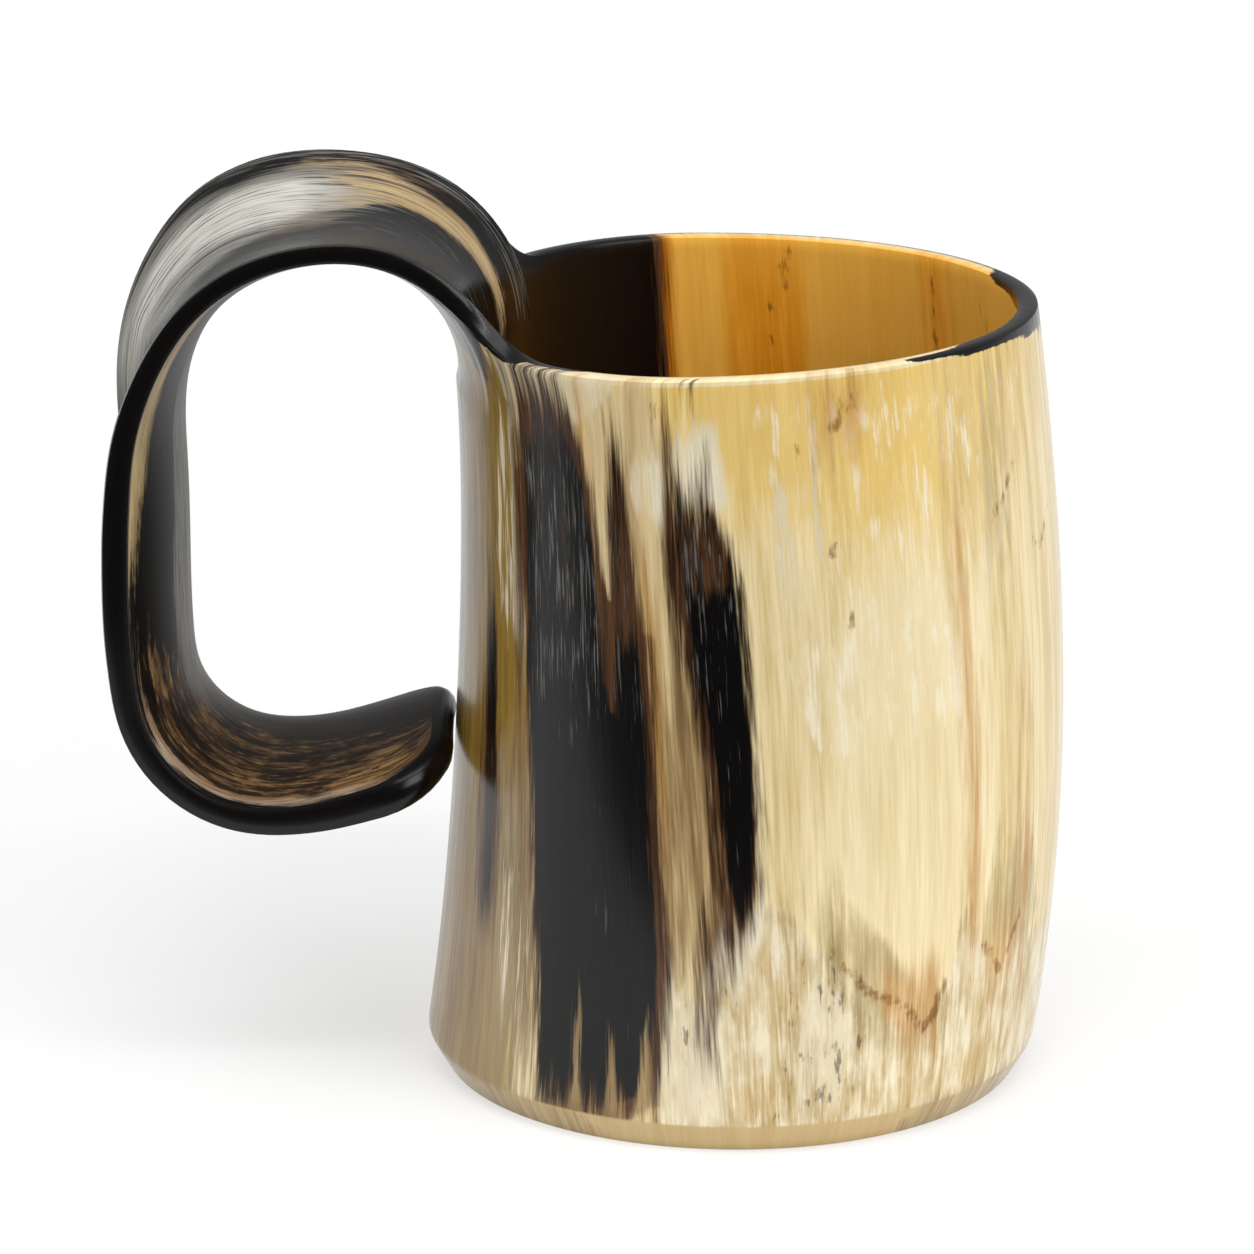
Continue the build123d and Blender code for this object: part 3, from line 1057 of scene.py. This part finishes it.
    def wall_turns(self, outer: float, inner: float, seam: float, columns: int) -> list[np.ndarray]:
        """Spread columns over the wall, from the root of the handle to the seam at the right.

        Args:
            outer: the root's way round on the outer skin, in radians.
            inner: the same on the inner skin.
            seam: the seam's way round.
            columns: how many columns.

        Returns:
            Ways round on the outer and the inner skin, which join on the way.
        """
        share = np.linspace(0.0, 1.0, columns + 1)
        wall = outer + (seam - outer) * share
        return [wall, wall + (inner - outer) * (1.0 - smooth_step(0.0, self.skin_join, share))]

    def lay_columns(self) -> None:
        """Lay out the sheet's columns from the seam at the right, by the back and the handle to the front."""
        half = {Side.FRONT: self.strip[0].front_half, Side.BACK: self.strip[0].back_half}
        flare = {Side.FRONT: self.front_flare, Side.BACK: self.back_flare}
        quarter = np.linspace(0.0, math.pi / 2.0, self.flare_columns + 1)
        flare_y = {}
        self.flare_rise = {}
        for side in Side:
            radius = flare[side] + self.lip_rise
            flare_y[side] = half[side] + flare[side] - radius * np.cos(quarter)
            self.flare_rise[side] = radius * (1.0 - np.sin(quarter))
        ends = (half[Side.BACK] - self.lip_rise, -(half[Side.FRONT] - self.lip_rise))
        strip_y = np.linspace(*ends, self.strip_columns + 1)
        root_y = np.concatenate([flare_y[Side.BACK][:0:-1], strip_y, -flare_y[Side.FRONT][1:]])
        depth = self.outline_at(np.array(self.collar_height))[2]
        outer = -np.arcsin(root_y / depth)
        inner = -np.arcsin(root_y / (depth - self.rim_wall))
        backs = self.wall_turns(outer[0], inner[0], -math.pi, self.back_columns)
        fronts = self.wall_turns(outer[-1], inner[-1], math.pi, self.front_columns)
        self.turns = {
            skin: np.concatenate([back[:0:-1], root, front[1:]])
            for skin, back, root, front in zip(Skin, backs, (outer, inner), fronts)
        }
        self.column_count = len(self.turns[Skin.OUTER]) - 1
        self.strip_first = self.back_columns + self.flare_columns
        self.strip_last = self.strip_first + self.strip_columns
        self.root_y = np.zeros(self.column_count + 1)
        self.root_y[self.back_columns : self.back_columns + len(root_y)] = root_y

    def crown_point(self, column: np.ndarray, distance: np.ndarray, skin: Skin) -> np.ndarray:
        """Place points above the collar: the wall's top, which turns into the strip near the handle.

        Args:
            column: column numbers.
            distance: distances along the strip's path from the collar.
            skin: which face of the horn.

        Returns:
            Points, one in each row.
        """
        turn = self.turns[skin][column]
        inset = np.full(turn.shape, 0.0 if skin is Skin.OUTER else self.rim_wall)
        collar = self.wall_point(turn, np.full(turn.shape, self.collar_height), inset)
        path_x = np.interp(distance, self.path_distance, self.path_x)
        path_z = np.interp(distance, self.path_distance, self.path_z)
        heading = np.interp(distance, self.path_distance, self.path_heading)
        offset = collar[:, 0] - self.path_x[np.searchsorted(self.path_distance, 0.0)]
        root_y = self.root_y[column]
        in_front = root_y < 0.0
        first, last = self.strip[0], self.strip[-1]
        front = self.strip_size(distance, "front_half") / first.front_half
        back = self.strip_size(distance, "back_half") / first.back_half
        tip_round = np.where(in_front, self.front_tip_round, self.back_tip_round)
        tip = np.clip((distance - self.strip_length + tip_round) / tip_round, 0.0, 1.0)
        tip_cut = tip_round * (1.0 - np.sqrt(1.0 - tip * tip))
        half_tip = np.where(in_front, last.front_half, last.back_half)
        strip_y = root_y * np.where(in_front, front, back) * (1.0 - tip_cut / half_tip)
        radius = self.strip_size(distance, "cross_radius")
        thickness = self.strip_size(distance, "thickness") if skin is Skin.OUTER else 0.0
        bent = radius + thickness
        arc = bent - np.sqrt(np.maximum(bent**2 - strip_y**2, 1.0)) - thickness
        half_root = np.where(in_front, first.front_half, first.back_half)
        relief = self.strip_size(distance, "relief") * np.maximum(1.0 - (root_y / half_root) ** 2, 0.0)
        strip = self.in_strip(column)
        easing = np.where(strip, smooth_step(self.strip_start, self.strip_full, distance), 0.0)
        offset = offset + (arc - offset) * easing + np.where(strip, relief, 0.0)
        y = collar[:, 1] + (strip_y - collar[:, 1]) * easing
        rolled = np.stack([path_x + offset * np.cos(heading), y, path_z + offset * np.sin(heading)], axis=-1)
        plain = self.wall_point(turn, rolled[:, 2], inset)
        roll_share = 1.0 - smooth_step(*np.radians(self.roll_turns), np.abs(turn))
        return plain + (rolled - plain) * roll_share[:, None]

    def rim_at(self, x: np.ndarray) -> np.ndarray:
        """Height of the tilted rim at X."""
        return self.rim_height + math.tan(math.radians(self.rim_tilt)) * x

    def solve_tops(self) -> None:
        """Find how far along the path each column runs before it meets the rim or the strip's root."""
        columns = np.arange(self.column_count + 1)
        rise = np.zeros(len(columns))
        rise[self.back_columns : self.strip_first + 1] = self.flare_rise[Side.BACK][::-1]
        rise[self.strip_last : self.strip_last + self.flare_columns + 1] = self.flare_rise[Side.FRONT]
        self.tops = {}
        for skin in Skin:
            low = np.zeros(len(columns))
            high = np.full(len(columns), self.highest_top)
            for _ in range(self.halvings):
                middle = (low + high) / 2.0
                points = self.crown_point(columns, middle, skin)
                above = points[:, 2] > self.rim_at(points[:, 0]) - self.lip_rise + rise
                high = np.where(above, middle, high)
                low = np.where(above, low, middle)
            ends = [self.strip_first, self.strip_last]
            inside = np.arange(self.strip_first, self.strip_last + 1)
            high[inside] = np.interp(inside, ends, high[ends])
            self.tops[skin] = high

    def skin_point(self, column: np.ndarray, row: np.ndarray, skin: Skin) -> np.ndarray:
        """Place the sheet's points on one skin.

        Args:
            column: column numbers.
            row: row numbers, from the foot upward and on along the strip.
            skin: which face of the horn.

        Returns:
            Points, one in each row.
        """
        foot_top = self.foot_heights[-1]
        share = np.clip((row - self.foot_rows) / self.wall_rows, 0.0, 1.0)
        even = foot_top + (self.collar_height - foot_top) * share
        in_foot = row < self.foot_rows
        foot_row = np.minimum(row, self.foot_rows)
        if skin is Skin.OUTER:
            height = np.where(in_foot, np.array(self.foot_heights)[foot_row], even)
            inset = np.zeros(len(row))
        else:
            heights = np.array([0.0, *(self.rebate_depth + rise for rise in self.seat_rises)])
            height = np.where(in_foot, heights[foot_row], even)
            wall = self.foot_wall + (self.rim_wall - self.foot_wall) * height / self.collar_height
            rounds = [self.foot_wall - part for part in self.seat_rounds]
            insets = np.array([self.rebate_inset] * 3 + rounds + [0.0])
            inset = np.where(in_foot, insets[foot_row], wall)
        wall_points = self.wall_point(self.turns[skin][column], height, inset)
        distance = self.row_distance(column, row, skin)
        crown_points = self.crown_point(column, distance, skin)
        in_crown = row > self.foot_rows + self.wall_rows
        return np.where(in_crown[:, None], crown_points, wall_points)

    def row_distance(self, column: np.ndarray, row: np.ndarray, skin: Skin) -> np.ndarray:
        """Distance along the strip's path of the rows above the collar.

        Args:
            column: column numbers.
            row: row numbers.
            skin: which face of the horn.

        Returns:
            Distances from the collar, zero below it.
        """
        top = self.tops[skin][column]
        tip_length = max(self.front_tip_round, self.back_tip_round)
        crown_share = np.clip((row - self.foot_rows - self.wall_rows) / self.crown_rows, 0.0, 1.0)
        strip_share = np.clip((row - self.rim_row) / self.strip_rows, 0.0, 1.0)
        tip_share = np.clip((row - self.rim_row - self.strip_rows) / self.tip_rows, 0.0, 1.0)
        straight = top * crown_share + (self.strip_length - tip_length - top) * strip_share
        return straight + tip_length * np.sin(tip_share * math.pi / 2.0)

    def edge_loop(self) -> tuple[np.ndarray, np.ndarray]:
        """List the sheet's upper edge in order: back rim, up the strip, round its tip, down and front rim.

        Returns:
            Column numbers and row numbers along the edge.
        """
        first, last = self.strip_first, self.strip_last
        climb = np.arange(self.rim_row + 1, self.row_count)
        stretches = (
            (np.arange(0, first + 1), self.rim_row),
            (first, climb),
            (np.arange(first, last + 1), self.row_count),
            (last, climb[::-1]),
            (np.arange(last, self.column_count), self.rim_row),
        )
        pairs = [np.broadcast_arrays(column, row) for column, row in stretches]
        columns, rows = zip(*pairs)
        return np.concatenate(columns), np.concatenate(rows)

    def edge_directions(self) -> np.ndarray:
        """Find the way out of the sheet at each point of its upper edge, in the sheet's own surface.

        Returns:
            Unit directions by column and row, zero away from the edge.
        """
        columns, rows = self.edge_loop()
        outer = self.skin_point(columns, rows, Skin.OUTER)
        inner = self.skin_point(columns, rows, Skin.INNER)
        middle = (outer + inner) / 2.0
        along = np.roll(middle, -1, axis=0) - np.roll(middle, 1, axis=0)
        out = np.cross(along, inner - outer)
        out /= np.linalg.norm(out, axis=1)[:, None]
        if out[0, 2] < 0.0:
            out = -out
        directions = np.zeros((self.column_count + 1, self.row_count + 1, 3))
        directions[columns, rows] = out
        directions[self.column_count] = directions[0]
        return directions

    def bend_sheet(self) -> bpy.types.Object:
        """Bend a grid to the outer skin, cut it to the rim and the strip, and close its seam.

        Returns:
            The sheet.
        """
        bpy.ops.object.select_all(action="DESELECT")
        columns, rows = self.column_count, self.row_count
        bpy.ops.mesh.primitive_grid_add(x_subdivisions=columns, y_subdivisions=rows, size=1.0)
        piece = bpy.context.object
        piece.name = "horn_body_polished"
        mesh = piece.data
        flat = read_points(mesh)
        column = np.rint((flat[:, 0] + 0.5) * columns).astype(int)
        row = np.rint((flat[:, 1] + 0.5) * rows).astype(int)
        write_values(mesh, "column", column)
        write_values(mesh, "row", row)
        write_points(mesh, self.skin_point(column, row, Skin.OUTER))
        spare = ~self.in_strip(column) & (row > self.rim_row)
        select_only(mesh, "polygons", [bool(spare[list(face.vertices)].any()) for face in mesh.polygons])
        bpy.ops.object.mode_set(mode="EDIT")
        bpy.ops.mesh.delete(type="FACE")
        bpy.ops.mesh.select_all(action="SELECT")
        bpy.ops.mesh.remove_doubles(threshold=self.weld * MM)
        bpy.ops.object.mode_set(mode="OBJECT")
        return piece

    def build(self) -> bpy.types.Object:
        """Model the horn: a bent sheet, thickened, with rounded lips.

        Returns:
            The piece.
        """
        piece = self.bend_sheet()
        mesh = piece.data
        skin_count = len(mesh.vertices)
        thicken = piece.modifiers.new("wall", "SOLIDIFY")
        thicken.thickness = self.rim_wall * MM
        thicken.offset = -1.0
        bpy.ops.object.modifier_apply(modifier="wall")
        through = np.zeros(len(mesh.vertices))
        through[skin_count:] = 1.0
        write_values(mesh, "through", through)
        ends = np.array([edge.vertices[:] for edge in mesh.edges])
        select_only(mesh, "edges", through[ends[:, 0]] != through[ends[:, 1]])
        bpy.ops.object.mode_set(mode="EDIT")
        bpy.ops.mesh.subdivide(number_cuts=self.lip_cuts)
        bpy.ops.object.mode_set(mode="OBJECT")
        self.place(mesh)
        for name in ("column", "row", "through"):
            mesh.attributes.remove(mesh.attributes[name])
        bpy.ops.object.mode_set(mode="EDIT")
        bpy.ops.mesh.select_all(action="SELECT")
        bpy.ops.mesh.normals_make_consistent(inside=False)
        bpy.ops.object.mode_set(mode="OBJECT")
        bpy.ops.object.shade_smooth_by_angle(angle=math.radians(self.sharp_angle))
        return piece

    def place(self, mesh: Mesh) -> None:
        """Put every vertex where its column, row and depth through the horn say.

        Args:
            mesh: the thickened sheet, tagged with those three values.
        """
        column = np.rint(read_values(mesh, "column")).astype(int)
        row = np.rint(read_values(mesh, "row")).astype(int)
        corner = np.sin(read_values(mesh, "through") * math.pi / 2.0) ** 2
        outer = self.skin_point(column, row, Skin.OUTER)
        inner = self.skin_point(column, row, Skin.INNER)
        distance = self.row_distance(column, row, Skin.OUTER)
        tip = smooth_step(self.strip_length - self.tip_lip_length, self.strip_length, distance)
        square = self.lip_squareness + (self.tip_lip_squareness - self.lip_squareness) * tip
        rise = self.lip_rise + (self.tip_lip_rise - self.lip_rise) * tip
        bulge = rise * np.clip(1.0 - np.abs(2.0 * corner - 1.0) ** square, 0.0, 1.0) ** (1.0 / square)
        directions = self.edge_directions()
        points = outer + (inner - outer) * corner[:, None] + directions[column, row] * bulge[:, None]
        write_points(mesh, points)
        self.tag_fibre(mesh, column, row, corner)

    def tag_fibre(self, mesh: Mesh, column: np.ndarray, row: np.ndarray, through: np.ndarray) -> None:
        """Store where each vertex lay in the straight horn before it was bent.

        Args:
            mesh: the placed sheet.
            column: column numbers of its vertices.
            row: row numbers.
            through: depth through the horn, 0 outside and 1 inside.
        """
        turn = self.turns[Skin.OUTER][column]
        height = read_points(mesh)[:, 2] / MM
        roll_share = 1.0 - smooth_step(*np.radians(self.fibre_turns), np.abs(turn))
        in_crown = row > self.foot_rows + self.wall_rows
        along = np.zeros(len(turn))
        for skin, weight in ((Skin.OUTER, 1.0 - through), (Skin.INNER, through)):
            distance = self.row_distance(column, row, skin)
            unrolled = height + (self.collar_height + distance - height) * roll_share
            along += weight * np.where(in_crown, unrolled, height)
        write_values(mesh, "turn", np.degrees(turn))
        write_values(mesh, "along", along)
        write_values(mesh, "depth", through)


@dataclass(frozen=True)
class Lamp:
    """A softbox: its place and its aim in millimetres, its size in metres and its power in watts."""

    name: str
    place: tuple[float, float, float]
    aim: tuple[float, float, float]
    width: float
    height: float
    power: float


@dataclass
class Studio:
    """Pale floor, soft lamps, and the camera at the photograph's angle."""

    camera_place: tuple[float, float, float] = (0.0, -1000.0, 380.346)
    camera_pitch: float = 0.305
    camera_yaw: float = 0.016
    camera_reach: float = 100.0
    focal_pixels: float = 7132.342
    picture_pixels: float = 1254.0
    sensor: float = 36.0
    floor_size: float = 4.0
    floor_front: float = -125.0
    floor_gap: float = 0.05
    floor_white: str = "F7F7F6"
    floor_glow: float = 0.55
    glow_reach: tuple[float, float] = (90.0, 320.0)
    sky: float = 0.45
    dim_front: float = 0.06
    front_range: tuple[float, float] = (-0.9, -0.2)
    lamps: tuple[Lamp, ...] = (
        Lamp("softbox_right", (660.0, -820.0, 600.0), (0.0, 0.0, 60.0), 0.8, 0.8, 8.3),
        Lamp("softbox_left", (-900.0, -200.0, 450.0), (-20.0, 0.0, 70.0), 0.4, 0.9, 4.0),
        Lamp("strip_front", (60.0, -420.0, 900.0), (0.0, 0.0, 110.0), 0.7, 0.05, 1.3),
        Lamp("softbox_top", (80.0, -200.0, 1100.0), (0.0, 0.0, 60.0), 1.2, 1.0, 8.1),
    )

    def set_camera(self) -> None:
        """Place the camera where the foot's and rim's outlines say it stood."""
        data = bpy.data.cameras.new("camera")
        data.sensor_width = self.sensor
        data.lens = self.focal_pixels / self.picture_pixels * self.sensor
        data.clip_end = self.camera_reach
        camera = bpy.data.objects.new("camera", data)
        camera.location = Vector(self.camera_place) * MM
        camera.rotation_euler = (math.pi / 2.0 - self.camera_pitch, 0.0, self.camera_yaw)
        bpy.context.scene.collection.objects.link(camera)
        bpy.context.scene.camera = camera

    def set_lamps(self) -> None:
        """Hang the softboxes."""
        for lamp in self.lamps:
            data = bpy.data.lights.new(lamp.name, "AREA")
            data.shape = "RECTANGLE"
            data.size = lamp.width
            data.size_y = lamp.height
            data.energy = lamp.power
            light = bpy.data.objects.new(lamp.name, data)
            light.location = Vector(lamp.place) * MM
            way = Vector(lamp.aim) - Vector(lamp.place)
            light.rotation_euler = way.to_track_quat("-Z", "Y").to_euler()
            bpy.context.scene.collection.objects.link(light)

    def seen_directly(self, tree: Tree) -> Socket:
        """Tell the rays that see the floor itself from those that only take light from it.

        Args:
            tree: the floor's node tree.

        Returns:
            1 for rays from the camera, a reflection or a see-through piece, and 0 for the rest.
        """
        path = put(tree, "LightPath", {})
        seen = path.outputs["Is Camera Ray"]
        for kind in ("Is Glossy Ray", "Is Transmission Ray"):
            seen = put(tree, "Math", {0: seen, 1: path.outputs[kind]}, operation="MAXIMUM").outputs[0]
        return seen

    def lay_floor(self) -> None:
        """Lay a white floor that keeps the cup's shadow."""
        bpy.ops.object.select_all(action="DESELECT")
        bpy.ops.mesh.primitive_plane_add(size=self.floor_size)
        floor = bpy.context.object
        floor.name = "floor"
        floor.location.y = self.floor_size / 2.0 + self.floor_front * MM
        floor.location.z = -self.floor_gap * MM
        material, tree = new_material("white_paper")
        matte = put(tree, "BsdfDiffuse", {"Color": linear(self.floor_white)})
        glow = put(tree, "Emission", {"Strength": 1.0})
        place = put(tree, "TexCoord", {}).outputs["Object"]
        away = put(tree, "VectorMath", {0: place, 1: (0.0, -floor.location.y, 0.0)}, operation="DISTANCE")
        near, far = self.glow_reach
        glowing = ease(tree, away.outputs["Value"], near * MM, far * MM, self.floor_glow)
        share = put(tree, "Math", {0: self.seen_directly(tree), 1: glowing}, operation="MULTIPLY")
        shader = put(tree, "MixShader", {0: share.outputs[0], 1: matte.outputs[0], 2: glow.outputs[0]})
        put(tree, "OutputMaterial", {"Surface": shader.outputs[0]})
        floor.data.materials.append(material)

    def light_sky(self) -> None:
        """Fill the room with even light, white where the camera looks past the floor."""
        world = bpy.data.worlds.new("studio")
        bpy.context.scene.world = world
        world.use_nodes = True
        tree = world.node_tree
        tree.nodes.clear()
        seen = put(tree, "LightPath", {}).outputs["Is Camera Ray"]
        way = put(tree, "TexCoord", {}).outputs["Generated"]
        back = put(tree, "SeparateXYZ", {0: way}).outputs["Y"]
        room = ramp(tree, back, *self.front_range, self.dim_front, self.sky)
        strength = put(tree, "Mix", {0: seen, 2: room, 3: 1.0}, data_type="FLOAT").outputs[0]
        sky = put(tree, "Background", {"Strength": strength})
        put(tree, "OutputWorld", {"Surface": sky.outputs[0]})

    def build(self) -> None:
        """Set up the camera, the floor, the lamps and the room."""
        bpy.context.scene.view_settings.view_transform = "Standard"
        self.set_camera()
        self.set_lamps()
        self.lay_floor()
        self.light_sky()


def dress_node(name: str, material: bpy.types.Material) -> bpy.types.Object:
    """Give a CAD node its finish and leave its shape alone.

    Args:
        name: the node.
        material: its finish.

    Returns:
        The node's object.
    """
    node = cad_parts[name]
    node.data.materials.clear()
    node.data.materials.append(material)
    return node


def main() -> None:
    """Build each piece in order and report it."""
    logging.basicConfig(level=logging.INFO, format="%(name)s %(message)s")
    piece = HornBody().build()
    PolishedHorn().dress(piece)
    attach(piece, "root")
    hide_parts("horn_body")
    LOG.info("%s: %d vertices, %d faces", piece.name, len(piece.data.vertices), len(piece.data.polygons))
    for name, finish in (("base_disc", PressedHorn()), ("glue_seam", CuredAdhesive())):
        node = dress_node(name, finish.material())
        LOG.info("%s: finished as %s", node.name, type(finish).__name__)
    Studio().build()


if __name__ == "__main__":
    main()
